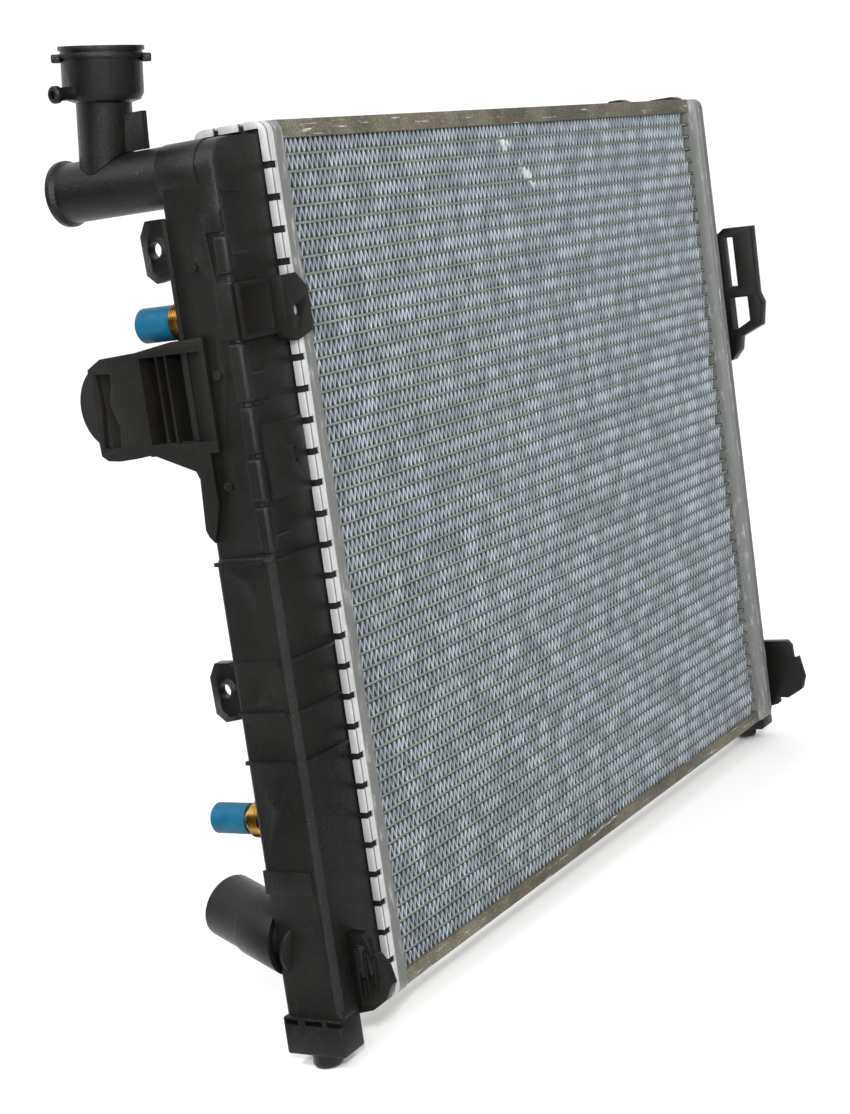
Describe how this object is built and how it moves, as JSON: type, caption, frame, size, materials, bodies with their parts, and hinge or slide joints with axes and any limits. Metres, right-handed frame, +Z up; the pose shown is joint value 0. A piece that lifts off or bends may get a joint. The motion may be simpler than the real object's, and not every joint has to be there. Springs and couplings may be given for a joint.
{
  "type": "car radiator",
  "caption": "Cross-flow car radiator: finned tube core, crimped headers, two moulded tanks, filler neck, hose pipes, oil cooler fittings with transit caps, brackets.",
  "frame": {"origin": "centre of the left peg's bottom face", "axes": "+X across the core from the left tank to the right tank, +Y to the rear (engine) side, +Z up"},
  "size_m": [0.7086, 0.1451, 0.5794],
  "materials": {
    "core_alloy": "dull bluish grey fins",
    "header_alloy": "satin pressed sheet",
    "plate_alloy": "dull olive grey sheet with scratches",
    "tank_plastic": "black glass-filled moulding, satin",
    "rubber": "matt black",
    "fitting_brass": "machined brass",
    "seal_copper": "copper washer",
    "cooler_brass": "brazed brass, inside the tank",
    "cap_plastic": "soft blue transit cap",
    "cock_plastic": "dark grey moulding"
  },
  "bodies": {
    "radiator": {"core_row_01": "core_alloy", "core_row_02": "core_alloy", "core_row_03": "core_alloy", "core_row_04": "core_alloy", "core_row_05": "core_alloy", "core_row_06": "core_alloy", "core_row_07": "core_alloy", "core_row_08": "core_alloy", "core_row_09": "core_alloy", "core_row_10": "core_alloy", "core_row_11": "core_alloy", "core_row_12": "core_alloy", "core_row_13": "core_alloy", "core_row_14": "core_alloy", "core_row_15": "core_alloy", "core_row_16": "core_alloy", "core_row_17": "core_alloy", "core_row_18": "core_alloy", "core_row_19": "core_alloy", "core_row_20": "core_alloy", "core_row_21": "core_alloy", "core_row_22": "core_alloy", "core_row_23": "core_alloy", "core_row_24": "core_alloy", "core_row_25": "core_alloy", "core_row_26": "core_alloy", "tank_left": "tank_plastic", "tank_right": "tank_plastic", "hose_pipe_upper": "tank_plastic", "filler_neck": "tank_plastic", "outlet_lower": "tank_plastic", "lug_upper": "tank_plastic", "lug_lower": "tank_plastic", "bracket_rear": "tank_plastic", "bracket_front": "tank_plastic", "bracket_left_lower": "tank_plastic", "bracket_right_upper": "tank_plastic", "bracket_right_lower": "tank_plastic", "bracket_right_top": "tank_plastic", "header_left": "header_alloy", "header_right": "header_alloy", "side_plate_top": "plate_alloy", "side_plate_bottom": "plate_alloy", "gasket_left": "rubber", "gasket_right": "rubber", "drain_seal": "rubber", "fitting_upper": "fitting_brass", "fitting_lower": "fitting_brass", "nut_upper": "fitting_brass", "nut_lower": "fitting_brass", "seal_upper": "seal_copper", "seal_lower": "seal_copper", "oil_cooler": "cooler_brass"},
    "cap_upper": {"cap_upper": "cap_plastic"},
    "cap_lower": {"cap_lower": "cap_plastic"},
    "drain_cock": {"drain_cock": "cock_plastic"}
  },
  "joints": [
    {"name": "cap_upper_slide", "type": "slide", "parent": "radiator", "child": "cap_upper", "axis": [0, 1, 0], "range_m": [0, 0.03]},
    {"name": "cap_lower_slide", "type": "slide", "parent": "radiator", "child": "cap_lower", "axis": [0, 1, 0], "range_m": [0, 0.03]},
    {"name": "drain_cock_turn", "type": "hinge", "parent": "radiator", "child": "drain_cock", "pos_m": [0.659, 0.028, 0.06], "axis": [0, 1, 0], "range_deg": [-90, 90]}
  ]
}
